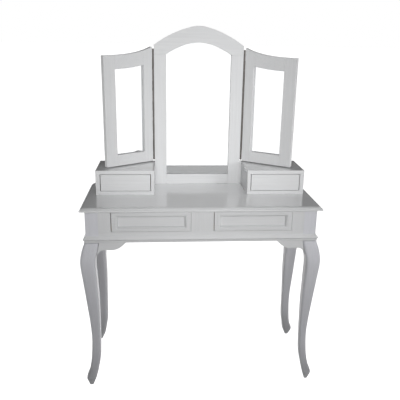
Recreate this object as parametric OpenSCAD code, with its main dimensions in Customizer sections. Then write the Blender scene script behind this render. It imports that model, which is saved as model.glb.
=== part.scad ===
// Dressing table with four drawers and a folding triple mirror, at 1:12 dolls' house scale.
// Millimetres. +X is to the right, +Y to the back and +Z up. The origin is on the floor under
// the middle of the table top. Every piece is drawn where it sits, with the drawers shut and
// both mirror wings swung part of the way forward.

/* [Table top] */
// Width of the table top from lip to lip
top_w = 75.7; // [72:0.1:80]
// Depth of the table top from the front lip to the plain back edge
top_d = 30.3; // [29:0.1:33]
// Height of the upper surface above the floor
top_z = 62.8; // [60:0.2:68]
// Thickness of the table top
top_t = 1.9; // [1.8:0.05:2.1]
// Distance from the frieze to the lip
overhang = 1.5; // [1.1:0.05:1.6]
// Distance of the cases and the mirror in from the back edge of the table top
back_inset = 0.35; // [0:0.05:0.5]

/* [Frieze] */
// Height of the frieze, from the leg blocks to the table top
frieze_h = 9.6; // [9.4:0.05:10]
// Thickness of the rails, stiles and aprons
board_t = 1.5; // [1.3:0.1:1.7]
// Height of the rail below the drawers
rail_h = 3.35; // [3.2:0.05:3.7]
// Width of the stile between the two frieze drawers
centre_stile_w = 7.1; // [6.5:0.1:8]
// Width of the opening for each frieze drawer
frieze_open_w = 24.95; // [23:0.05:25.5]
// Height of the waist moulding
waist_h = 2.15; // [1.9:0.05:2.4]
// How far the waist moulding stands out from the frieze
waist_out = 0.8; // [0.6:0.05:1]

/* [Legs] */
// Side of the square post at the top of each leg
post_w = 4; // [3.6:0.1:4.2]
// Length of the brackets beside the legs, front and back
bracket_len = 8.3; // [7:0.1:9]
// Length of the brackets beside the legs, at the ends
side_bracket_len = 5.4; // [4.8:0.1:6]
// Drop of the brackets below the frieze
bracket_drop = 2.45; // [2:0.05:2.8]
// Thickness of the brackets
bracket_t = 1.6; // [1.2:0.1:1.8]
// How much stouter the rear legs are towards the floor, as a share of their width
rear_leg_extra = 0.28; // [0:0.02:0.3]

/* [Drawer cases] */
// Width of each drawer case on the table top
case_w = 19.2; // [18:0.05:20]
// Height of each drawer case
case_h = 8.2; // [8:0.05:9]
// Distance from the middle of the table to the front of the cases
case_front = 0.3; // [0:0.05:3]
// Distance that both cases are set to the right of the middle
case_shift = 0.4; // [0:0.05:0.4]
// Thickness of the side of each case that is next to the mirror
case_side_t = 1.15; // [1:0.05:1.4]
// Thickness of the outer side of each case
case_outer_t = 1.4; // [1:0.05:1.6]
// Thickness of the case top
case_top_t = 1.25; // [1:0.05:1.4]
// Thickness of the case bottom
case_bottom_t = 1.2; // [1:0.05:1.4]
// Gap beside the inset drawer fronts
case_gap = 0.2; // [0.15:0.05:0.35]
// Gap above and below the inset drawer fronts
case_gap_z = 0.12; // [0.1:0.02:0.2]

/* [Mirrors] */
// Width of the middle mirror frame
mirror_w = 30.2; // [29:0.1:32]
// Height of the middle frame's shoulders above the floor
shoulder_z = 110.25; // [109:0.25:112]
// Height of the top of the arch above the floor
apex_z = 116.65; // [114:0.05:120]
// Thickness of the mirror frames
frame_t = 1.6; // [1.5:0.05:1.8]
// Width of the middle frame's stiles
stile_w = 4.15; // [3.8:0.05:4.5]
// Height of the middle frame's bottom rail
mirror_rail_h = 3.6; // [3:0.1:4]
// Width of each wing
wing_w = 18.25; // [17:0.05:19]
// Width of the outer stile of each wing
wing_outer_w = 4.1; // [3.8:0.1:4.6]
// Width of the inner stile of each wing, beside the hinge
wing_inner_w = 3.3; // [3.2:0.1:4.4]
// Height of the wing bottom rail
wing_rail_h = 3.7; // [3.6:0.05:4.4]
// Height of the outer top corner of the wings above the floor
wing_top_z = 107.1; // [104:0.1:108]
// Height of the wing top rail at its outer end
wing_head_h = 4.3; // [4:0.1:5]
// Angle of the wings forward of the middle mirror
wing_open = 35; // [0:1:90]

/* [Hidden] */

$fn = 64;

// Colours
paint = [0.80, 0.80, 0.81];
paint_shade = [0.70, 0.70, 0.72];
bare_wood = [0.80, 0.70, 0.55];
silver_glass = [0.86, 0.90, 0.94];
card = [0.45, 0.36, 0.28];
dark_metal = [0.30, 0.28, 0.27];

// Levels and planes of the table
frieze_hw = top_w / 2 - overhang;
frieze_hd = top_d / 2 - overhang;
frieze_z1 = top_z - top_t;
leg_h = frieze_z1 - frieze_h;
rail_z1 = leg_h + rail_h;
joint_gap = 0.02;

// Frieze drawers: both fronts are set towards the right of their openings
frieze_gap_left = 0.22;
frieze_gap_right = 0.05;
frieze_gap_z = 0.06;
frieze_front_w = frieze_open_w - frieze_gap_left - frieze_gap_right;
frieze_front_z0 = rail_z1 + frieze_gap_z;
frieze_front_h = frieze_z1 - frieze_gap_z - frieze_front_z0;
frieze_body_len = 20.5;
frieze_body_inset = 0.2;
drawer_wall_t = 0.9;
drawer_bottom_t = 0.6;
runner_clear = 0.05;

// Sunk panel of the frieze drawer fronts
panel_margin_x = 1.15;
panel_margin_z = 0.7;
panel_bevel = 0.85;
panel_depth = 0.8;
panel_bead = 0.1;
panel_bead_w = 0.3;

// Drawer cases and their drawers
case_x0 = mirror_w / 2 + case_shift;
case_z1 = top_z + case_h;
case_y0 = -case_front;
case_y1 = top_d / 2 - back_inset;
case_back_t = 0.9;
case_front_t = 1.2;
case_wall_t = 0.8;
case_body_y1 = case_y1 - case_back_t - 1.3;

// Mirror frames
mirror_y = case_y1 - frame_t;
lip_t = 0.95;
glass_t = 0.4;
rebate = 0.6;
glass_gap = 0.05;
arch_width = 5.25;
inner_hw = mirror_w / 2 - stile_w;
inner_apex = apex_z - arch_width;
wing_z0 = case_z1 + 0.35;
wing_open_top = wing_top_z - wing_head_h;

// Hinges between the middle mirror and the wings
hinge_gap = 0.6;
hinge_x = mirror_w / 2 + hinge_gap / 2;
knuckle_r = 0.27;
hinge_pin_r = 0.12;
hinge_bore_r = 0.15;
leaf_t = 0.15;
leaf_w = 1.3;
knuckles = 11;
hinge_z0 = wing_z0 + 0.5;
knuckle_len = (shoulder_z - 1 - hinge_z0) / knuckles;
knuckle_gap = 0.04;

// Points of an arc from angle a0 to a1
function arc(cx, cy, r, a0, a1, n) = [for (i = [0:n]) let (a = a0 + (a1 - a0) * i / n)
    [cx + r * cos(a), cy + r * sin(a)]];

// Point at t on the cubic curve with the end points p and s and the handles q and r
function bezier(p, q, r, s, t) =
    pow(1 - t, 3) * p + 3 * t * pow(1 - t, 2) * q + 3 * t * t * (1 - t) * r + pow(t, 3) * s;

// Round moulded edge of a sunk panel, as [distance in, depth] from its outer edge
function ovolo(w, depth, n) = [for (i = [0:n]) [w * sin(90 * i / n), depth * (1 - cos(90 * i / n))]];

// Draws the children on the right, or mirrored to the left
module on_side(side) {
    if (side > 0) children();
    else mirror([1, 0, 0]) children();
}

// A plate with the outline of the children in X and Z, from y0 back through a thickness t
module plate(y0, t) {
    translate([0, y0 + t, 0]) rotate([90, 0, 0]) linear_extrude(t) children();
}

// A block between two opposite corners
module block(a, b) {
    translate(a) cube(b - a);
}

// ---- Table top -------------------------------------------------------------------------

// Edge of the table top as [distance in from the lip, height below the surface]:
// a bevel, a small step, a round nose and a cove back to the frieze
nose_r = 0.36;
cove_r = 0.6;
top_edge = concat(
    [[1.3, 0], [0.46, -0.4], [0.4, -0.58]],
    [for (p = arc(nose_r, -0.94, nose_r, 80, -60, 8)) [2 * nose_r - p[0], p[1]]],
    [for (p = arc(overhang - cove_r, -top_t, cove_r, 90, 0, 6)) [p[0] - 0.05, p[1]]]
);

module edge_outline(half, moulded_back) {
    front = [for (p = top_edge) [half - p[0], top_z + p[1]]];
    back = moulded_back ? [for (i = [len(top_edge) - 1:-1:0]) [top_edge[i][0] - half, top_z + top_edge[i][1]]]
                        : [[-half, top_z - top_t], [-half, top_z]];
    polygon(concat(front, back));
}

module table_top() {
    color(paint) intersection() {
        plate(-top_d, 2 * top_d) edge_outline(top_w / 2, true);
        rotate([0, 0, -90]) plate(-top_w, 2 * top_w) edge_outline(top_d / 2, false);
    }
}

// ---- Frieze ----------------------------------------------------------------------------

module front_bottom_rail() {
    x1 = frieze_hw - post_w;
    color(paint) block([-x1, -frieze_hd, leg_h], [x1, board_t - frieze_hd, rail_z1]);
}

module front_centre_stile() {
    x1 = centre_stile_w / 2;
    color(paint) block([-x1, -frieze_hd, rail_z1], [x1, board_t - frieze_hd, frieze_z1]);
}

module front_end_stiles() {
    x0 = centre_stile_w / 2 + frieze_open_w;
    color(paint) for (side = [-1, 1]) on_side(side)
        block([x0, -frieze_hd, rail_z1], [frieze_hw - post_w, board_t - frieze_hd, frieze_z1]);
}

module side_apron(side) {
    y1 = frieze_hd - post_w;
    color(paint) on_side(side)
        block([frieze_hw - board_t, -y1, leg_h], [frieze_hw, y1, frieze_z1]);
}

module back_apron() {
    x1 = frieze_hw - post_w;
    color(paint_shade) block([-x1, frieze_hd - board_t, leg_h], [x1, frieze_hd, frieze_z1]);
}

// Section of the waist moulding as [distance out from the frieze, height]
waist_tip_r = 0.24;
waist_tip_z = leg_h + 1.1;
waist_section = concat(
    [[0, leg_h], [0, leg_h + waist_h], [0.12, leg_h + waist_h]],
    arc(waist_out - waist_tip_r, waist_tip_z, waist_tip_r, 50, -60, 8),
    [[waist_out - 0.3, waist_tip_z - 0.45], [waist_out - 0.34, leg_h]]
);

// One length of waist moulding along X, standing out towards -Y, with a mitre at each end
// that is asked for
module waist_length(half, left_mitre, right_mitre) {
    reach = 2 * waist_out;
    left = left_mitre ? reach : 0;
    right = right_mitre ? reach : 0;
    intersection() {
        rotate([90, 0, 90]) translate([0, 0, -2 * half]) linear_extrude(4 * half)
            polygon([for (p = waist_section) [-p[0], p[1]]]);
        translate([0, 0, leg_h - 1]) linear_extrude(waist_h + 2)
            polygon([[joint_gap - half, 0], [joint_gap - half - left, -reach],
                     [half - joint_gap + right, -reach], [half - joint_gap, 0]]);
    }
}

module waist_moulding() {
    color(paint) {
        translate([0, -frieze_hd, 0]) waist_length(frieze_hw, true, true);
        translate([frieze_hw, 0, 0]) rotate([0, 0, 90]) waist_length(frieze_hd, true, false);
        translate([-frieze_hw, 0, 0]) rotate([0, 0, -90]) waist_length(frieze_hd, false, true);
    }
}

module centre_divider() {
    y1 = frieze_hd - board_t;
    color(bare_wood) block([-0.6, -y1, rail_z1 - 0.8], [0.6, y1, frieze_z1]);
}

module glue_blocks() {
    size = 2;
    reach = 1.5;
    z0 = frieze_z1 - size;
    x1 = frieze_hw - board_t;
    y1 = frieze_hd - board_t;
    color(bare_wood) for (side = [-1, 1]) on_side(side) {
        block([x1 - size, -reach, z0], [x1, reach, frieze_z1]);
        block([x1 / 2 - reach, y1 - size, z0], [x1 / 2 + reach, y1, frieze_z1]);
    }
}

// ---- Legs ------------------------------------------------------------------------------

// Stations up the leg: [height as a fraction of the leg, centre outside the frieze's face,
// half width]. The foot turns out in a small toe, the ankle is slim and the knee swells.
leg_stations = [
    [0, 0.6, 0.42], [0.023, 0.6, 0.82], [0.058, 0.56, 1.31], [0.116, -0.25, 1.1],
    [0.194, -0.95, 1.15], [0.35, -1.3, 1.15], [0.58, -1, 1.72], [0.737, -0.6, 2.05],
    [0.873, -0.35, 2.35], [0.94, -1, 2.5], [1, -1.8, 2.3]
];
leg_sides = 24;
leg_steps = 4;
last_station = len(leg_stations) - 1;

// Slope of column c at station i
function leg_slope(i, c) = let (a = leg_stations[max(i - 1, 0)], b = leg_stations[min(i + 1, last_station)])
    (b[c] - a[c]) / (b[0] - a[0]);

// Column c of the stations at t from station i to the next, on a smooth curve
function leg_value(i, t, c) = let (a = leg_stations[i], b = leg_stations[i + 1], d = b[0] - a[0])
    bezier(a[c], a[c] + d * leg_slope(i, c) / 3, b[c] - d * leg_slope(i + 1, c) / 3, b[c], t);

// [height, centre, half width] at every ring from the foot to the top of the knee
leg_rings = [for (i = [0:last_station - 1], k = [0:leg_steps - 1]) let (t = k / leg_steps)
    [leg_h * (leg_stations[i][0] + t * (leg_stations[i + 1][0] - leg_stations[i][0])),
     leg_value(i, t, 1), leg_value(i, t, 2)]];
knee_ring = [leg_h, leg_stations[last_station][1], leg_stations[last_station][2]];
peg_rings = [[leg_h, -post_w / 2, 1.5], [leg_h + 1, -post_w / 2, 1.5]];

// A square with round corners: the corners are squarer at the top of the leg
function corner_power(z) = 2 / (3.2 + 2.3 * z / leg_h);
function signed_power(v, e) = sign(v) * pow(abs(v), e);
function leg_ring(r, extra) = let (
    e = corner_power(r[0]),
    half = r[2] * (1 + extra * max(0, 1 - r[0] / (0.9 * leg_h))))
    [for (k = [0:leg_sides - 1]) let (a = 360 * (k + 0.5) / leg_sides)
        [r[1] + half * signed_power(cos(a), e), r[1] + half * signed_power(sin(a), e), r[0]]];

// The turned-out part of the leg, for the corner at +X and +Y, measured from the corner of
// the frieze
module cabriole(extra) {
    rings = concat(leg_rings, [knee_ring], peg_rings);
    n = leg_sides;
    points = [for (r = rings) each leg_ring(r, extra)];
    sides = [for (i = [0:len(rings) - 2], k = [0:n - 1]) let (a = i * n + k, b = i * n + (k + 1) % n)
        each [[a, a + n, b + n], [a, b + n, b]]];
    bottom = [for (k = [0:n - 1]) k];
    top = [for (k = [n - 1:-1:0]) (len(rings) - 1) * n + k];
    polyhedron(points, concat(sides, [bottom, top]));
}

module leg(side, end) {
    color(paint) on_side(side) mirror([0, end > 0 ? 0 : 1, 0]) translate([frieze_hw, frieze_hd, 0]) {
        cabriole(end > 0 ? rear_leg_extra : 0);
        block([-post_w, -post_w, leg_h], [0, 0, frieze_z1]);
    }
}

// Inner side of the leg near the knee, as points from the top down to the end of the
// bracket's tail
leg_inner = [for (i = [len(leg_rings) - 1:-1:0]) if (leg_rings[i][0] > leg_h - bracket_drop - 2.4)
    [leg_rings[i][1] - leg_rings[i][2] - 0.03, leg_rings[i][0]]];

// Outline of a bracket beside a leg: distance from the frieze corner and height
module bracket_outline(length) {
    foot = leg_h - bracket_drop;
    start = knee_ring[1] - knee_ring[2] - 0.03;
    tip = start - length;
    tail = leg_inner[len(leg_inner) - 1];
    above_tail = leg_inner[len(leg_inner) - 2];
    arch_end = [tail[0] - (foot - tail[1]), foot];
    polygon(concat(
        [[start, leg_h]],
        leg_inner,
        [for (t = [0.125:0.125:1]) bezier(tail, tail + 1.2 * (above_tail - tail),
            arch_end + [1.2, 0], arch_end, t)],
        [for (t = [0:0.125:1]) bezier([tip + length * 0.52, foot], [tip + length * 0.3, foot],
            [tip + length * 0.15, leg_h - bracket_drop / 2], [tip, leg_h], t)]
    ));
}

module bracket(length) {
    translate([0, 0.55, 0]) rotate([90, 0, 0]) linear_extrude(bracket_t) bracket_outline(length);
}

module knee_brackets() {
    color(paint) for (side = [-1, 1], end = [0, 1]) on_side(side) mirror([0, end, 0])
        translate([frieze_hw, frieze_hd, 0]) {
            bracket(bracket_len);
            mirror([1, -1, 0]) bracket(side_bracket_len);
        }
}

// ---- Frieze drawers --------------------------------------------------------------------

// Left edge of the opening on each side, and of the drawer front in it
function opening_x(side) = side > 0 ? centre_stile_w / 2 : -centre_stile_w / 2 - frieze_open_w;
function front_x(side) = opening_x(side) + frieze_gap_left;

// A hollow with round moulded sides: its floor is in by the bevel on every side
module sunk_panel(x0, z0, w, h, bevel, depth) {
    y0 = -frieze_hd;
    edge = ovolo(bevel, depth, 5);
    back_edge = [for (i = [len(edge) - 1:-1:0]) edge[i]];
    intersection() {
        translate([0, 0, z0]) linear_extrude(h)
            polygon(concat([for (p = edge) [x0 + p[0], y0 + p[1]]],
                           [for (p = back_edge) [x0 + w - p[0], y0 + p[1]]],
                           [[x0 + w, y0 - 1], [x0, y0 - 1]]));
        translate([x0, 0, 0]) rotate([90, 0, 90]) linear_extrude(w)
            polygon(concat([for (p = edge) [y0 + p[1], z0 + p[0]]],
                           [for (p = back_edge) [y0 + p[1], z0 + h - p[0]]],
                           [[y0 - 1, z0 + h], [y0 - 1, z0]]));
    }
}

module drawer_front(side) {
    x0 = front_x(side);
    z0 = frieze_front_z0;
    w = frieze_front_w;
    h = frieze_front_h;
    bead_x = x0 + panel_margin_x - panel_bead_w;
    bead_z = z0 + panel_margin_z - panel_bead_w;
    bead_w = w - 2 * (panel_margin_x - panel_bead_w);
    bead_h = h - 2 * (panel_margin_z - panel_bead_w);
    color(paint) difference() {
        block([x0, -frieze_hd, z0], [x0 + w, board_t - frieze_hd, z0 + h]);
        difference() {
            block([x0 - 1, -frieze_hd - 1, z0 - 1], [x0 + w + 1, panel_bead - frieze_hd, z0 + h + 1]);
            block([bead_x, -frieze_hd - 2, bead_z], [bead_x + bead_w, 1 - frieze_hd, bead_z + bead_h]);
        }
        sunk_panel(x0 + panel_margin_x, z0 + panel_margin_z, w - 2 * panel_margin_x,
                   h - 2 * panel_margin_z, panel_bevel, panel_depth);
    }
}

// Three upright boards of a drawer box, open at the front and the top
module drawer_box_walls(x0, x1, y0, y1, z0, z1, t) {
    block([x0, y0, z0], [x0 + t, y1, z1]);
    block([x1 - t, y0, z0], [x1, y1, z1]);
    block([x0 + t + joint_gap, y1 - t, z0], [x1 - t - joint_gap, y1, z1]);
}

module drawer_walls(side) {
    x0 = front_x(side) + frieze_body_inset;
    x1 = front_x(side) + frieze_front_w - frieze_body_inset;
    y0 = board_t - frieze_hd;
    z0 = frieze_front_z0 + drawer_bottom_t;
    color(bare_wood)
        drawer_box_walls(x0, x1, y0, y0 + frieze_body_len, z0, frieze_z1 - 0.6, drawer_wall_t);
}

module drawer_bottom(side) {
    x0 = front_x(side) + frieze_body_inset;
    x1 = front_x(side) + frieze_front_w - frieze_body_inset;
    y0 = board_t - frieze_hd;
    color(bare_wood) block([x0, y0, frieze_front_z0],
                           [x1, y0 + frieze_body_len, frieze_front_z0 + drawer_bottom_t]);
}

// L-shaped runners: the drawer slides on the ledge, and the rib keeps it straight
module runner(x, turn) {
    y1 = frieze_hd - board_t;
    ledge = 1.6;
    rib = 0.9;
    clear = 0.1;
    z1 = frieze_front_z0 - runner_clear;
    z0 = z1 - 0.8;
    translate([x, y1, 0]) mirror([turn > 0 ? 0 : 1, 0, 0]) rotate([90, 0, 0]) linear_extrude(2 * y1)
        polygon([[-clear - rib, z0], [ledge, z0], [ledge, z1], [-clear, z1], [-clear, z1 + 2.2],
                 [-clear - rib, z1 + 2.2]]);
}

module drawer_runners() {
    color(bare_wood) for (side = [-1, 1]) {
        runner(front_x(side) + frieze_body_inset, 1);
        runner(front_x(side) + frieze_front_w - frieze_body_inset, -1);
    }
}

// ---- Drawer cases on the table top -----------------------------------------------------

module on_case(side) {
    translate([case_shift, 0, 0]) on_side(side) children();
}

module case_top(side) {
    color(paint) on_case(side)
        block([case_x0, case_y0, case_z1 - case_top_t], [case_x0 + case_w, case_y1, case_z1]);
}

module case_bottom(side) {
    color(paint) on_case(side)
        block([case_x0, case_y0, top_z], [case_x0 + case_w, case_y1, top_z + case_bottom_t]);
}

module case_sides(side) {
    z0 = top_z + case_bottom_t;
    z1 = case_z1 - case_top_t;
    x1 = case_x0 + case_w;
    color(paint) on_case(side) {
        block([case_x0, case_y0, z0], [case_x0 + case_side_t, case_y1, z1]);
        block([x1 - case_outer_t, case_y0, z0], [x1, case_y1, z1]);
    }
}

// The back of a case that stands clear of the mirror has a strip that closes the space between
module case_back(side) {
    gap_x0 = mirror_w / 2 - side * case_shift + joint_gap;
    gap_x1 = case_x0 - joint_gap;
    color(paint_shade) on_case(side) {
        block([case_x0 + case_side_t, case_y1 - case_back_t, top_z + case_bottom_t],
              [case_x0 + case_w - case_outer_t, case_y1, case_z1 - case_top_t]);
        if (gap_x1 > gap_x0) block([gap_x0, case_y1 - case_back_t, top_z], [gap_x1, case_y1, case_z1]);
    }
}

// Sides of a case drawer
case_drawer_x0 = case_x0 + case_side_t + case_gap;
case_drawer_x1 = case_x0 + case_w - case_outer_t - case_gap;

module case_drawer_front(side) {
    color(paint) on_case(side)
        block([case_drawer_x0, case_y0, top_z + case_bottom_t + case_gap_z],
              [case_drawer_x1, case_y0 + case_front_t, case_z1 - case_top_t - case_gap_z]);
}

module case_drawer_walls(side) {
    z0 = top_z + case_bottom_t + runner_clear + drawer_bottom_t;
    color(bare_wood) on_case(side)
        drawer_box_walls(case_drawer_x0, case_drawer_x1, case_y0 + case_front_t,
                         case_body_y1, z0, case_z1 - case_top_t - 0.5, case_wall_t);
}

module case_drawer_bottom(side) {
    z0 = top_z + case_bottom_t + runner_clear;
    color(bare_wood) on_case(side)
        block([case_drawer_x0, case_y0 + case_front_t, z0],
              [case_drawer_x1, case_body_y1, z0 + drawer_bottom_t]);
}

// ---- Middle mirror ---------------------------------------------------------------------

// An arch is [half width, apex, radius at the top, radius at the sides, angle at which the
// top curve runs into the side curves]
outer_arch = [mirror_w / 2, apex_z, 11, 36.5, 14.8];
inner_arch = [inner_hw, inner_apex, 13.2, 32, 19.2];

// Half of an arch, from the apex down to the end of its side curve, moved out by grow
function half_arch(a, grow) = let (
    r_top = a[2] + grow,
    r_side = a[3] + grow,
    side_x = -(a[3] - a[2]) * sin(a[4]),
    side_z = a[1] - a[2] - (a[3] - a[2]) * cos(a[4]),
    end = asin((a[0] + grow - side_x) / r_side))
    concat(arc(0, a[1] - a[2], r_top, 90, 90 - a[4], 8),
           arc(side_x, side_z, r_side, 90 - a[4] - 2, 90 - end, 10));
function arch_shoulder(a) = let (p = half_arch(a, 0)) p[len(p) - 1][1];

// The area under an arch, down to the height z0
module arch_area(a, grow, z0) {
    right = half_arch(a, grow);
    left = [for (i = [len(right) - 1:-1:1]) [-right[i][0], right[i][1]]];
    half = a[0] + grow;
    polygon(concat(left, right, [[half, z0], [-half, z0]]));
}

inner_shoulder = arch_shoulder(inner_arch);

module mirror_opening(grow) {
    arch_area(inner_arch, grow, top_z + mirror_rail_h - grow);
}

module mirror_pocket() {
    plate(mirror_y + lip_t, frame_t) mirror_opening(rebate);
}

module mirror_stile(side) {
    color(paint) on_side(side) difference() {
        block([inner_hw, mirror_y, top_z], [mirror_w / 2, mirror_y + frame_t, inner_shoulder]);
        mirror_pocket();
    }
}

module mirror_bottom_rail() {
    color(paint) difference() {
        block([-inner_hw, mirror_y, top_z], [inner_hw, mirror_y + frame_t, top_z + mirror_rail_h]);
        mirror_pocket();
    }
}

module mirror_arch_rail() {
    color(paint) difference() {
        plate(mirror_y, frame_t) difference() {
            arch_area(outer_arch, 0, inner_shoulder);
            mirror_opening(0);
        }
        mirror_pocket();
    }
}

module mirror_glass() {
    color(silver_glass) plate(mirror_y + lip_t, glass_t) mirror_opening(rebate - glass_gap);
}

module mirror_back_board() {
    color(card) plate(mirror_y + lip_t + glass_t, frame_t - lip_t - glass_t)
        mirror_opening(rebate - glass_gap);
}

// ---- Wings -----------------------------------------------------------------------------
// A wing is drawn flat, from the hinge axis out along +X with its front face at y = 0, and
// is then swung forward about the axis.

module on_wing(side) {
    on_side(side) translate([hinge_x, mirror_y, 0]) rotate([0, 0, -wing_open]) children();
}

wing_x0 = hinge_gap / 2;
wing_x1 = wing_x0 + wing_w;
wing_open_z0 = wing_z0 + wing_rail_h;
wing_pocket_z1 = wing_open_top + 2.1;

// The hollow curve along the top of a wing falls steeply from the middle mirror's shoulder
// and runs out level
wing_shoulder_z = shoulder_z - 0.35;
wing_top_curve = [for (t = [0:0.05:1]) bezier([wing_x0, wing_shoulder_z],
    [wing_x0 + wing_w * 0.26, wing_top_z + 0.6], [wing_x0 + wing_w * 0.6, wing_top_z + 0.05],
    [wing_x1, wing_top_z], t)];
wing_open_curve = [for (t = [0:0.05:1]) bezier([wing_x0 + wing_inner_w - rebate, wing_open_top + 1.3],
    [wing_x0 + wing_w * 0.4, wing_open_top + 0.4], [wing_x0 + wing_w * 0.6, wing_open_top + 0.1],
    [wing_x1 - wing_outer_w + rebate, wing_open_top], t)];

// The area below the top curve of a wing, down to z0
module below_wing_curve(x0, x1, z0) {
    intersection() {
        polygon(concat(wing_top_curve, [[wing_x1, wing_z0 - 1], [wing_x0, wing_z0 - 1]]));
        translate([x0, z0]) square([x1 - x0, shoulder_z - z0]);
    }
}

module wing_pocket() {
    block([wing_x0 + wing_inner_w - rebate, lip_t, wing_open_z0 - rebate],
          [wing_x1 - wing_outer_w + rebate, frame_t + 1, wing_pocket_z1]);
}

module wing_outer_stile(side) {
    color(paint) on_wing(side) difference() {
        plate(0, frame_t) below_wing_curve(wing_x1 - wing_outer_w, wing_x1, wing_z0);
        wing_pocket();
    }
}

module wing_inner_stile(side) {
    color(paint) on_wing(side) difference() {
        plate(0, frame_t) below_wing_curve(wing_x0, wing_x0 + wing_inner_w, wing_z0);
        wing_pocket();
    }
}

module wing_top_rail(side) {
    color(paint) on_wing(side) difference() {
        plate(0, frame_t) difference() {
            below_wing_curve(wing_x0 + wing_inner_w, wing_x1 - wing_outer_w, wing_open_top - 0.5);
            polygon(concat(wing_open_curve, [[wing_x1, wing_open_z0], [wing_x0, wing_open_z0]]));
        }
        wing_pocket();
    }
}

module wing_bottom_rail(side) {
    color(paint) on_wing(side) difference() {
        block([wing_x0 + wing_inner_w, 0, wing_z0], [wing_x1 - wing_outer_w, frame_t, wing_open_z0]);
        wing_pocket();
    }
}

module wing_panel(y0, y1) {
    in = rebate - glass_gap;
    block([wing_x0 + wing_inner_w - in, y0, wing_open_z0 - in],
          [wing_x1 - wing_outer_w + in, y1, wing_pocket_z1 - glass_gap]);
}

module wing_glass(side) {
    color(silver_glass) on_wing(side) wing_panel(lip_t, lip_t + glass_t);
}

module wing_back_board(side) {
    color(card) on_wing(side) wing_panel(lip_t + glass_t, frame_t);
}

// ---- Hinges ----------------------------------------------------------------------------
// Each hinge is drawn about its axis. The even knuckles, 0 to 10, belong to the middle frame
// and hold the pin. The odd ones belong to the wing and turn on it.

function knuckle_z(i) = hinge_z0 + i * knuckle_len;

// A leaf with its knuckles: the leaf lies on the wood beside the axis, at the distance
// hinge_gap / 2 along -X, and is cut back round the other leaf's knuckles
module hinge_leaf(first, bore_r) {
    last = knuckles - 1 - first;
    difference() {
        union() {
            block([-hinge_gap / 2, 0, knuckle_z(first)],
                  [leaf_t - hinge_gap / 2, leaf_w, knuckle_z(last + 1) - knuckle_gap]);
            for (i = [first:2:last]) translate([0, 0, knuckle_z(i)]) {
                cylinder(r = knuckle_r, h = knuckle_len - knuckle_gap);
                block([-hinge_gap / 2, 0, 0], [0, knuckle_r, knuckle_len - knuckle_gap]);
            }
        }
        for (i = [1 - first:2:knuckles - 1]) translate([0, 0, knuckle_z(i) - knuckle_gap])
            cylinder(r = hinge_gap / 2 + 0.04, h = knuckle_len + knuckle_gap);
        translate([0, 0, hinge_z0 - 1]) cylinder(r = bore_r, h = knuckles * knuckle_len + 2);
    }
}

module hinge_frame_leaf(side) {
    color(dark_metal) on_side(side) translate([hinge_x, mirror_y, 0]) hinge_leaf(0, hinge_pin_r);
}

module hinge_wing_leaf(side) {
    color(dark_metal) on_wing(side) mirror([1, 0, 0]) hinge_leaf(1, hinge_bore_r);
}

module hinge_pin(side) {
    color(dark_metal) on_side(side) translate([hinge_x, mirror_y, hinge_z0 - 0.2])
        cylinder(r = hinge_pin_r, h = knuckles * knuckle_len + 0.3);
}

// ---- Nodes -----------------------------------------------------------------------------

table_top();
front_bottom_rail();
front_centre_stile();
front_end_stiles();
side_apron(-1);  // left_side_apron
side_apron(1);  // right_side_apron
back_apron();
waist_moulding();
leg(-1, -1);  // front_left_leg
leg(1, -1);  // front_right_leg
leg(-1, 1);  // rear_left_leg
leg(1, 1);  // rear_right_leg
knee_brackets();
drawer_runners();
centre_divider();
glue_blocks();
drawer_front(-1);  // left_drawer_front
drawer_walls(-1);  // left_drawer_walls
drawer_bottom(-1);  // left_drawer_bottom
drawer_front(1);  // right_drawer_front
drawer_walls(1);  // right_drawer_walls
drawer_bottom(1);  // right_drawer_bottom
case_top(-1);  // left_case_top
case_bottom(-1);  // left_case_bottom
case_sides(-1);  // left_case_sides
case_back(-1);  // left_case_back
case_top(1);  // right_case_top
case_bottom(1);  // right_case_bottom
case_sides(1);  // right_case_sides
case_back(1);  // right_case_back
case_drawer_front(-1);  // left_case_drawer_front
case_drawer_walls(-1);  // left_case_drawer_walls
case_drawer_bottom(-1);  // left_case_drawer_bottom
case_drawer_front(1);  // right_case_drawer_front
case_drawer_walls(1);  // right_case_drawer_walls
case_drawer_bottom(1);  // right_case_drawer_bottom
mirror_stile(-1);  // mirror_left_stile
mirror_stile(1);  // mirror_right_stile
mirror_bottom_rail();
mirror_arch_rail();
mirror_glass();
mirror_back_board();
wing_outer_stile(-1);  // left_wing_outer_stile
wing_inner_stile(-1);  // left_wing_inner_stile
wing_top_rail(-1);  // left_wing_top_rail
wing_bottom_rail(-1);  // left_wing_bottom_rail
wing_glass(-1);  // left_wing_glass
wing_back_board(-1);  // left_wing_back_board
wing_outer_stile(1);  // right_wing_outer_stile
wing_inner_stile(1);  // right_wing_inner_stile
wing_top_rail(1);  // right_wing_top_rail
wing_bottom_rail(1);  // right_wing_bottom_rail
wing_glass(1);  // right_wing_glass
wing_back_board(1);  // right_wing_back_board
hinge_frame_leaf(-1);  // left_hinge_frame_leaf
hinge_wing_leaf(-1);  // left_hinge_wing_leaf
hinge_pin(-1);  // left_hinge_pin
hinge_frame_leaf(1);  // right_hinge_frame_leaf
hinge_wing_leaf(1);  // right_hinge_wing_leaf
hinge_pin(1);  // right_hinge_pin
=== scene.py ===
import math

import bmesh
import bpy
from mathutils import Matrix, Vector


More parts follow.
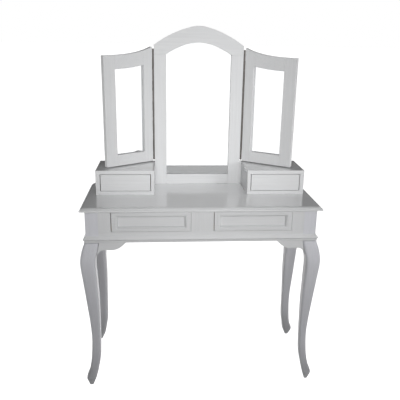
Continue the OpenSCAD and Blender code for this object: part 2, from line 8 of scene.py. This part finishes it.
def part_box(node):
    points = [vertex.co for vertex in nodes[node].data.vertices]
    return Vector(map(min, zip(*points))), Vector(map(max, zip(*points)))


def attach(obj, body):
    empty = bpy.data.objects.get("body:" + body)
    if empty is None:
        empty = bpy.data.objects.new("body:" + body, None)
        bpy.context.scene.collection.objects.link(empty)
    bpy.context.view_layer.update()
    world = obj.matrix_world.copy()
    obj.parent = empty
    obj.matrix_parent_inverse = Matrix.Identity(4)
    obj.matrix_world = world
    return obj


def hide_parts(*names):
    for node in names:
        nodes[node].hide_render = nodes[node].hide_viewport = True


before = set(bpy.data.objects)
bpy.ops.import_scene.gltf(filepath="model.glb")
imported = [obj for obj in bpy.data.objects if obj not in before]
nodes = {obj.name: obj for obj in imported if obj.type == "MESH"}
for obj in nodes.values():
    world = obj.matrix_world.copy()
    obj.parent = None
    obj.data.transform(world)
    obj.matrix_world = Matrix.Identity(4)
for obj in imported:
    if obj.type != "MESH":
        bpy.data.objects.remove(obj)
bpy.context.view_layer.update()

MM = 0.001
scene = bpy.context.scene
WING_TURN = 35


# ---- Camera -----------------------------------------------------------------------------


def make_camera(place, yaw, pitch, roll, lens):
    """A camera at place in mm that looks along +Y, turned by yaw, pitch and roll in degrees."""
    y, p, r = (math.radians(a) for a in (yaw, pitch, roll))
    ahead = Vector((math.sin(y) * math.cos(p), math.cos(y) * math.cos(p), math.sin(p)))
    right = Vector((math.cos(y), -math.sin(y), 0))
    up = right.cross(ahead)
    cam_x = right * math.cos(r) + up * math.sin(r)
    cam_y = up * math.cos(r) - right * math.sin(r)
    data = bpy.data.cameras.new("camera")
    data.lens, data.sensor_width = lens, 36
    data.clip_start, data.clip_end = 0.005, 20
    cam = bpy.data.objects.new("camera", data)
    turn = Matrix((cam_x, cam_y, -ahead)).transposed().to_4x4()
    cam.matrix_world = Matrix.Translation(Vector(place) * MM) @ turn
    scene.collection.objects.link(cam)
    scene.camera = cam


make_camera((-12.35, -163.07, 111.2), 4.374, -17.142, 0.971, 45.76)


# ---- Materials --------------------------------------------------------------------------


class Nodes:
    """Adds nodes and links to one node tree."""

    def __init__(self, tree):
        self.tree = tree
        tree.nodes.clear()

    def add(self, kind, **values):
        node = self.tree.nodes.new(kind)
        for key, value in values.items():
            if hasattr(node, key):
                setattr(node, key, value)
            else:
                self.feed(node.inputs[key.replace("_", " ")], value)
        return node

    def feed(self, socket, value):
        if isinstance(value, bpy.types.NodeSocket):
            self.tree.links.new(value, socket)
        else:
            socket.default_value = value

    def math(self, operation, a, b=0.5):
        node = self.add("ShaderNodeMath", operation=operation)
        self.feed(node.inputs[0], a)
        self.feed(node.inputs[1], b)
        return node.outputs[0]

    def wrap(self, angle):
        """An angle in degrees, brought between -180 and 180."""
        node = self.add("ShaderNodeMath", operation="WRAP")
        for socket, v in zip(node.inputs, (angle, 180, -180)):
            self.feed(socket, v)
        return node.outputs[0]

    def remap(self, value, from_lo, from_hi, to_lo, to_hi, smooth=False):
        node = self.add("ShaderNodeMapRange")
        if smooth:
            node.interpolation_type = "SMOOTHSTEP"
        for socket, v in zip(node.inputs, (value, from_lo, from_hi, to_lo, to_hi)):
            self.feed(socket, v)
        return node.outputs[0]

    def mix(self, factor, a, b, blend="MIX"):
        node = self.add("ShaderNodeMix", data_type="RGBA", blend_type=blend)
        self.feed(node.inputs["Factor"], factor)
        self.feed([s for s in node.inputs if s.name == "A" and s.type == "RGBA"][0], a)
        self.feed([s for s in node.inputs if s.name == "B" and s.type == "RGBA"][0], b)
        return [s for s in node.outputs if s.type == "RGBA"][0]

    def noise(self, vector, scale, detail=2.0, roughness=0.5):
        node = self.add(
            "ShaderNodeTexNoise", Vector=vector, Scale=scale, Detail=detail, Roughness=roughness
        )
        return node.outputs[0]

    def grain_space(self, along, across, axis, turn=0.0):
        """Object coordinates in which noise stretches into streaks along one axis."""
        place = self.add("ShaderNodeTexCoord").outputs["Object"]
        if turn:
            spin = self.add("ShaderNodeMapping", Vector=place)
            spin.inputs["Rotation"].default_value = (0, 0, math.radians(turn))
            place = spin.outputs[0]
        size = self.add("ShaderNodeMapping", Vector=place)
        size.inputs["Scale"].default_value = [along if a == axis else across for a in "xyz"]
        return size.outputs[0]


def new_material(name):
    material = bpy.data.materials.new(name)
    material.use_nodes = True
    return material, Nodes(material.node_tree)


def finish_material(n, shader):
    n.add("ShaderNodeOutputMaterial", Surface=shader)


def bump(n, height, strength, distance, normal=None):
    node = n.add("ShaderNodeBump", Strength=strength, Distance=distance, Height=height)
    if normal is not None:
        n.feed(node.inputs["Normal"], normal)
    return node.outputs[0]


PAINT = (0.78, 0.785, 0.79)
LEG_PAINT = (0.772, 0.775, 0.815)
# Painted shade: the legs darken to this colour towards the floor, between the two heights, in mm
FOOT_SHADE_COLOUR = (0.54, 0.541, 0.568, 1)
FOOT_SHADE_FULL, FOOT_SHADE_NONE = 2, 16


def paint_material(name, axis, turn=0.0, rough=0.36, coat=0.25, coat_rough=0.18, shaded_feet=False):
    """Satin white paint brushed along one axis over close-grained wood; for the legs, painted shade
    darkens it towards the floor.
    """
    colour = LEG_PAINT if shaded_feet else PAINT
    material, n = new_material(name)
    brush = n.noise(n.grain_space(45, 1500, axis, turn), 1.0, 3.0, 0.6)
    fine = n.noise(n.grain_space(160, 5200, axis, turn), 1.0, 2.0, 0.5)
    cloud = n.noise(n.grain_space(70, 110, axis, turn), 1.0, 2.0, 0.5)
    streak = n.math("ADD", n.math("MULTIPLY", brush, 0.65), n.math("MULTIPLY", fine, 0.35))
    light = colour + (1,)
    dark = tuple(c * 0.93 for c in colour) + (1,)
    base = n.mix(n.remap(streak, 0.35, 0.65, 0, 1), dark, light)
    aged = tuple(c * 0.955 for c in colour[:2]) + (colour[2] * 0.965, 1)
    base = n.mix(n.remap(cloud, 0.3, 0.7, 0, 0.35), base, aged)
    # Painted shade: the legs' colour darkens towards the floor
    if shaded_feet:
        place = n.add("ShaderNodeTexCoord").outputs["Object"]
        up = n.add("ShaderNodeSeparateXYZ", Vector=place).outputs[2]
        share = n.remap(up, FOOT_SHADE_FULL * MM, FOOT_SHADE_NONE * MM, 1, 0, smooth=True)
        base = n.mix(share, base, FOOT_SHADE_COLOUR)
    roughness = n.remap(streak, 0.3, 0.7, rough + 0.06, rough - 0.05)
    height = n.math("ADD", n.math("MULTIPLY", brush, 0.7), n.math("MULTIPLY", fine, 0.3))
    shader = n.add(
        "ShaderNodeBsdfPrincipled",
        Base_Color=base,
        Roughness=roughness,
        Coat_Weight=coat,
        Coat_Roughness=coat_rough,
        Normal=bump(n, height, 0.35, 0.03 * MM),
    )
    finish_material(n, shader.outputs[0])
    return material


paint_x = paint_material("white_paint_x", "x")
paint_y = paint_material("white_paint_y", "y")
paint_z = paint_material("white_paint_z", "z")
# The legs' paint carries painted shade that darkens it towards the floor
paint_legs = paint_material("white_paint_legs_shaded_feet", "z", shaded_feet=True)
paint_left_wing = paint_material("white_paint_left_wing", "x", WING_TURN)
paint_right_wing = paint_material("white_paint_right_wing", "x", -WING_TURN)
gloss_x = paint_material("white_gloss_x", "x", rough=0.22, coat=0.9, coat_rough=0.07)


def wood_material(name, axis):
    """Bare close-grained wood with growth streaks along one axis."""
    material, n = new_material(name)
    band = n.noise(n.grain_space(30, 700, axis), 1.0, 4.0, 0.6)
    pore = n.noise(n.grain_space(260, 6500, axis), 1.0, 2.0, 0.5)
    base = n.mix(n.remap(band, 0.35, 0.65, 0, 1), (0.42, 0.28, 0.15, 1), (0.60, 0.44, 0.26, 1))
    base = n.mix(n.remap(pore, 0.52, 0.7, 0, 0.5), base, (0.28, 0.17, 0.09, 1))
    shader = n.add(
        "ShaderNodeBsdfPrincipled",
        Base_Color=base,
        Roughness=n.remap(band, 0.3, 0.7, 0.62, 0.5),
        Normal=bump(n, n.math("ADD", band, pore), 0.4, 0.02 * MM),
    )
    finish_material(n, shader.outputs[0])
    return material


wood_x = wood_material("bare_wood_x", "x")
wood_y = wood_material("bare_wood_y", "y")


def board_material():
    material, n = new_material("back_board")
    place = n.add("ShaderNodeTexCoord").outputs["Object"]
    fibre = n.noise(place, 2600, 4.0, 0.65)
    cloud = n.noise(place, 160, 2.0, 0.5)
    base = n.mix(n.remap(fibre, 0.35, 0.65, 0, 1), (0.13, 0.085, 0.05, 1), (0.22, 0.15, 0.10, 1))
    base = n.mix(n.remap(cloud, 0.35, 0.65, 0, 0.4), base, (0.10, 0.065, 0.04, 1))
    shader = n.add(
        "ShaderNodeBsdfPrincipled",
        Base_Color=base,
        Roughness=n.remap(fibre, 0.3, 0.7, 0.8, 0.65),
        Normal=bump(n, fibre, 0.5, 0.02 * MM),
    )
    finish_material(n, shader.outputs[0])
    return material


def glass_material():
    """Silvered glass with a very slight unevenness."""
    material, n = new_material("mirror_glass")
    place = n.add("ShaderNodeTexCoord").outputs["Object"]
    wave = n.noise(place, 90, 1.0, 0.4)
    shader = n.add(
        "ShaderNodeBsdfPrincipled",
        Base_Color=n.mix(n.remap(wave, 0.3, 0.7, 0, 1), (0.93, 0.94, 0.945, 1), (0.96, 0.965, 0.965, 1)),
        Metallic=1.0,
        Roughness=n.remap(wave, 0.3, 0.7, 0.012, 0.02),
        Normal=bump(n, wave, 0.02, 0.02 * MM),
    )
    finish_material(n, shader.outputs[0])
    return material


def hinge_material():
    material, n = new_material("hinge_metal")
    place = n.add("ShaderNodeTexCoord").outputs["Object"]
    mottle = n.noise(place, 1800, 3.0, 0.6)
    share = n.remap(mottle, 0.35, 0.65, 0, 1)
    shader = n.add(
        "ShaderNodeBsdfPrincipled",
        Base_Color=n.mix(share, (0.17, 0.158, 0.15, 1), (0.27, 0.25, 0.235, 1)),
        Metallic=0.9,
        Roughness=n.remap(mottle, 0.3, 0.7, 0.38, 0.55),
        Normal=bump(n, mottle, 0.25, 0.01 * MM),
    )
    finish_material(n, shader.outputs[0])
    return material


board = board_material()
glass = glass_material()
hinge_metal = hinge_material()


def material_for(node):
    if node.endswith("glass"):
        return glass
    if "back_board" in node:
        return board
    if "hinge" in node:
        return hinge_metal
    if node.endswith(("drawer_walls", "drawer_runners", "centre_divider")):
        return wood_y
    if node.endswith(("drawer_bottom", "glue_blocks")):
        return wood_x
    if node in ("table_top", "left_case_top", "right_case_top"):
        return gloss_x
    if "wing" in node and "rail" in node:
        return paint_left_wing if node.startswith("left") else paint_right_wing
    if node.endswith(("stile", "stiles", "leg")):
        return paint_z
    if node.endswith(("side_apron", "case_sides")):
        return paint_y
    return paint_x


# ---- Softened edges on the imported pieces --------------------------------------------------


def geometry_group(name):
    group = bpy.data.node_groups.new(name, "GeometryNodeTree")
    group.interface.new_socket("Geometry", in_out="INPUT", socket_type="NodeSocketGeometry")
    group.interface.new_socket("Geometry", in_out="OUTPUT", socket_type="NodeSocketGeometry")
    return group, group.nodes.new("NodeGroupInput"), group.nodes.new("NodeGroupOutput")


def welding_group():
    """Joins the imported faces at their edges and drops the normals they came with."""
    group, source, result = geometry_group("weld")
    drop = group.nodes.new("GeometryNodeRemoveAttribute")
    drop.inputs["Name"].default_value = "custom_normal"
    merge = group.nodes.new("GeometryNodeMergeByDistance")
    merge.inputs["Distance"].default_value = 0.0005 * MM
    group.links.new(source.outputs[0], drop.inputs[0])
    group.links.new(drop.outputs[0], merge.inputs[0])
    group.links.new(merge.outputs[0], result.inputs[0])
    return group


def smoothing_group():
    group, source, result = geometry_group("smooth")
    smooth = group.nodes.new("GeometryNodeSetShadeSmooth")
    group.links.new(source.outputs[0], smooth.inputs[0])
    group.links.new(smooth.outputs[0], result.inputs[0])
    return group


weld_nodes = welding_group()
smooth_nodes = smoothing_group()
FLAT_ANGLE = 0.4
BEVEL_ANGLE = 32
BEVEL_SEGMENTS = 3


def weight_normals(obj):
    normals = obj.modifiers.new("normals", "WEIGHTED_NORMAL")
    normals.keep_sharp = False
    normals.weight = 60


def soften(obj, width, join_flats=True):
    """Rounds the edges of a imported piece, as paint and sanding do."""
    obj.modifiers.new("weld", "NODES").node_group = weld_nodes
    if join_flats:
        flat = obj.modifiers.new("flat", "DECIMATE")
        flat.decimate_type = "DISSOLVE"
        flat.angle_limit = math.radians(FLAT_ANGLE)
    bevel = obj.modifiers.new("bevel", "BEVEL")
    bevel.width = width * MM
    bevel.segments = BEVEL_SEGMENTS
    bevel.limit_method = "ANGLE"
    bevel.angle_limit = math.radians(BEVEL_ANGLE)
    bevel.miter_outer = "MITER_ARC"
    bevel.use_clamp_overlap = True
    obj.modifiers.new("smooth", "NODES").node_group = smooth_nodes
    weight_normals(obj)


EDGE = {"table_top": 0.12, "waist_moulding": 0.07, "knee_brackets": 0.3}
LEGS = [node for node in nodes if node.endswith("leg")]


def edge_width(node):
    if node in EDGE:
        return EDGE[node]
    if node.startswith("front_") or node in ("left_drawer_front", "right_drawer_front"):
        return 0.03
    if "wing" in node or node.startswith("mirror"):
        return 0.1
    if "case_drawer_front" in node:
        return 0.1
    return 0.07


for node, obj in nodes.items():
    obj.data.materials.clear()
    obj.data.materials.append(material_for(node))
    if node not in LEGS and not node.endswith("glass") and "hinge" not in node:
        soften(obj, edge_width(node), join_flats=not node.endswith("drawer_front"))


# ---- Legs -------------------------------------------------------------------------------

# Up the leg from the floor: height as a fraction of the leg, then in mm how far the middle
# of the section stands outside the corner of the frieze, and half the section's width
LEG_STATIONS = (
    (0, 0.6, 0.42), (0.023, 0.6, 0.82), (0.058, 0.56, 1.31), (0.116, -0.25, 1.1),
    (0.194, -0.95, 1.15), (0.35, -1.3, 1.15), (0.58, -1, 1.72), (0.737, -0.6, 2.05),
    (0.873, -0.35, 2.35), (0.94, -1, 2.5), (1, -1.8, 2.3),
)
LEG_SIDES = 48
LEG_STEPS = 8
SOLE_ROUND = 0.12
POST_SIDE = 4
POST_EDGE = 0.05
# The rear legs are stouter at the foot by this part, fading out at the knee, which is at this
# fraction of the leg's height
REAR_EXTRA = 0.28
KNEE = 0.9
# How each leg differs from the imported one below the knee, in mm: how much stouter it is on
# every side, and how far its middle stands further out
LEG_SHAPING = {
    "front_left_leg": (0.44, -0.5),
    "front_right_leg": (0.18, 0.05),
    "rear_left_leg": (0.45, -0.05),
    "rear_right_leg": (0.14, -0.14),
}


def curve_value(stations, i, t, column):
    """A column of the stations at t between station i and the next, on a smooth curve."""

    def slope(k):
        a, b = stations[max(k - 1, 0)], stations[min(k + 1, len(stations) - 1)]
        return (b[column] - a[column]) / (b[0] - a[0])

    a, b = stations[i], stations[i + 1]
    reach = (b[0] - a[0]) / 3
    p = (a[column], a[column] + reach * slope(i), b[column] - reach * slope(i + 1), b[column])
    return (1 - t) ** 3 * p[0] + 3 * t * (1 - t) ** 2 * p[1] + 3 * t * t * (1 - t) * p[2] + t**3 * p[3]


def leg_section(height, middle, half, squareness):
    """One ring of the leg: a square with round corners."""
    ring = []
    for k in range(LEG_SIDES):
        a = 2 * math.pi * (k + 0.5) / LEG_SIDES
        x, y = (math.copysign(abs(v) ** (2 / squareness), v) for v in (math.cos(a), math.sin(a)))
        ring.append(Vector((middle + half * x, middle + half * y, height)))
    return ring


def bridge(bm, rings):
    rows = [[bm.verts.new(p) for p in ring] for ring in rings]
    for low, high in zip(rows, rows[1:]):
        for k in range(len(low)):
            nxt = (k + 1) % len(low)
            bm.faces.new((low[k], low[nxt], high[nxt], high[k]))
    bm.faces.new(list(reversed(rows[0])))
    bm.faces.new(rows[-1])


def leg_piece(node, corner, side, end, leg_top, post_top):
    """A cabriole leg and its square post, for the corner of the frieze at side and end."""
    extra = REAR_EXTRA if end > 0 else 0
    grow, slide = LEG_SHAPING[node]

    def shaping(part):
        return math.sqrt(max(0, 1 - part / KNEE)) * min(1, 0.5 + 5 * part)

    foot = LEG_STATIONS[0][2] * (1 + extra) + grow * shaping(0)
    rings = [leg_section(0, LEG_STATIONS[0][1] + slide * shaping(0), foot - SOLE_ROUND, 3.2)]
    for i in range(len(LEG_STATIONS) - 1):
        for k in range(LEG_STEPS):
            t = k / LEG_STEPS
            low, high = LEG_STATIONS[i][0], LEG_STATIONS[i + 1][0]
            part = low + t * (high - low)
            lift = SOLE_ROUND / 2 if part == 0 else 0
            stout = 1 + extra * max(0, 1 - part / KNEE)
            rings.append(
                leg_section(
                    part * leg_top + lift,
                    curve_value(LEG_STATIONS, i, t, 1) + slide * shaping(part),
                    curve_value(LEG_STATIONS, i, t, 2) * stout + grow * shaping(part),
                    3.2 + 2.3 * part,
                )
            )
    rings.append(leg_section(leg_top, LEG_STATIONS[-1][1], LEG_STATIONS[-1][2], 5.5))
    bm = bmesh.new()
    bridge(bm, rings)
    post = bmesh.ops.create_cube(bm, size=1)["verts"]
    for v in post:
        v.co = Vector(
            (
                POST_SIDE * (v.co.x - 0.5),
                POST_SIDE * (v.co.y - 0.5),
                leg_top + (v.co.z + 0.5) * (post_top - leg_top),
            )
        )
    post_edges = list({e for v in post for e in v.link_edges})
    bmesh.ops.bevel(bm, geom=post_edges, offset=POST_EDGE, segments=2, affect="EDGES", profile=0.5)
    for v in bm.verts:
        v.co = Vector((side * (corner[0] + v.co.x), end * (corner[1] + v.co.y), v.co.z)) * MM
    bmesh.ops.recalc_face_normals(bm, faces=bm.faces)
    mesh = bpy.data.meshes.new(node + "_carved")
    bm.to_mesh(mesh)
    bm.free()
    mesh.shade_smooth()
    piece = bpy.data.objects.new(node + "_carved", mesh)
    scene.collection.objects.link(piece)
    weight_normals(piece)
    mesh.materials.append(paint_legs)
    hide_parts(node)
    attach(piece, "table")


def make_legs():
    low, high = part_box("right_side_apron")
    corner = (high[0] / MM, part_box("back_apron")[1][1] / MM)
    for node in LEGS:
        side = 1 if "right" in node else -1
        end = 1 if "rear" in node else -1
        leg_piece(node, corner, side, end, low[2] / MM, high[2] / MM)


make_legs()


# ---- Floor, world and lights --------------------------------------------------------------


FLOOR_REACH = 40  # metres from the table to the edge of the floor, far enough to meet the sky


def make_floor():
    mesh = bpy.data.meshes.new("floor")
    bm = bmesh.new()
    bmesh.ops.create_grid(bm, x_segments=1, y_segments=1, size=FLOOR_REACH)
    bm.to_mesh(mesh)
    bm.free()
    floor = bpy.data.objects.new("floor", mesh)
    scene.collection.objects.link(floor)
    material, n = new_material("floor_paper")
    place = n.add("ShaderNodeTexCoord").outputs["Object"]
    tooth = n.noise(place, 700, 3.0, 0.6)
    shader = n.add(
        "ShaderNodeBsdfPrincipled",
        Base_Color=n.mix(tooth, (0.88, 0.88, 0.885, 1), (0.9, 0.9, 0.9, 1)),
        Roughness=0.9,
        Emission_Color=(1, 1, 1, 1),
        Emission_Strength=1.12,
    )
    finish_material(n, shader.outputs[0])
    mesh.materials.append(material)
    floor.visible_diffuse = False
    floor.visible_shadow = False


# The room around the table, as soft patches of light over a dark ground. Each is
# (azimuth from the front, half width, elevation, half height, level), with the angles in
# degrees and the right-hand side positive.
ROOM_SOFT = 14
ROOM_GROUND = (0.01, 0.01, 0.01)
ROOM = {
    "horizon": (0, 14, 0.5, 4.5, 1.2),
    "front": (0, 30, 22, 16, 0.4),
    "high_front": (0, 85, 52, 19, 0.2),
    "back": (180, 60, 50, 22, 0.1),
}


def make_world():
    """Soft patches of light round the table. The camera sees plain white."""
    world = bpy.data.worlds.new("studio")
    world.use_nodes = True
    scene.world = world
    n = Nodes(world.node_tree)
    way = n.add("ShaderNodeSeparateXYZ", Vector=n.add("ShaderNodeTexCoord").outputs["Generated"])
    x, y, z = way.outputs
    degree = math.degrees(1)
    azimuth = n.math("MULTIPLY", n.math("ARCTAN2", x, n.math("MULTIPLY", y, -1)), degree)
    elevation = n.math("MULTIPLY", n.math("ARCSINE", z), degree)

    def band(angle, half):
        return n.remap(angle, half - ROOM_SOFT / 2, half + ROOM_SOFT / 2, 1, 0, smooth=True)

    light = n.add("ShaderNodeRGB").outputs[0]
    light.default_value = ROOM_GROUND + (1,)
    for az, az_half, el, el_half, level in ROOM.values():
        turn = n.math("ABSOLUTE", n.wrap(n.math("SUBTRACT", azimuth, az)))
        rise = n.math("ABSOLUTE", n.math("SUBTRACT", elevation, el))
        share = n.math("MULTIPLY", band(turn, az_half), band(rise, el_half))
        light = n.mix(share, light, (level, level, level, 1), "ADD")
    lit = n.add("ShaderNodeBackground", Color=light, Strength=1.0)
    plain = n.add("ShaderNodeBackground", Color=(1, 1, 1, 1), Strength=1.0)
    either = n.add("ShaderNodeMixShader")
    n.feed(either.inputs[0], n.add("ShaderNodeLightPath").outputs["Is Camera Ray"])
    n.feed(either.inputs[1], lit.outputs[0])
    n.feed(either.inputs[2], plain.outputs[0])
    n.add("ShaderNodeOutputWorld", Surface=either.outputs[0])


def place_light(data, place, target):
    light = bpy.data.objects.new(data.name, data)
    light.location = Vector(place) * MM
    light.rotation_mode = "QUATERNION"
    light.rotation_quaternion = (Vector(target) - Vector(place)).to_track_quat("-Z", "Y")
    scene.collection.objects.link(light)
    light.visible_camera = False
    return light


def area_light(name, place, target, size, power, colour):
    data = bpy.data.lights.new(name, "AREA")
    data.shape = "RECTANGLE"
    data.size, data.size_y = (s * MM for s in size)
    data.energy = power
    data.color = colour
    return place_light(data, place, target)


def spot_light(name, place, target, cone, radius, power):
    data = bpy.data.lights.new(name, "SPOT")
    data.spot_size = math.radians(cone)
    data.spot_blend = 1.0
    data.shadow_soft_size = radius * MM
    data.energy = power
    return place_light(data, place, target)


make_floor()
make_world()
# name: place and aim in mm, cone in degrees, radius in mm and power in watts
STUDIO = {
    "key": ((-10, -300, 130), (0, 5, 98), 30, 40, 2.2),
    "side": ((200, -240, 110), (15, 0, 55), 40, 50, 0.7),
    "over": ((0, -80, 400), (0, -12, 62), 20, 30, 1.0),
    "back": ((40, 330, 110), (0, 0, 62), 40, 60, 2.2),
    "left_end": ((-330, 60, 100), (0, 0, 62), 40, 60, 0.6),
    "right_end": ((330, 60, 100), (0, 0, 62), 40, 60, 0.6),
}
for name, (place, aim, cone, radius, power) in STUDIO.items():
    spot = spot_light(name, place, aim, cone, radius, power)
    spot.visible_glossy = False
area_light("rim", (150, -130, 190), (37, -14, 48), (50, 30), 0.04, (0.96, 0.98, 1.0))
scene.view_settings.view_transform = "Standard"
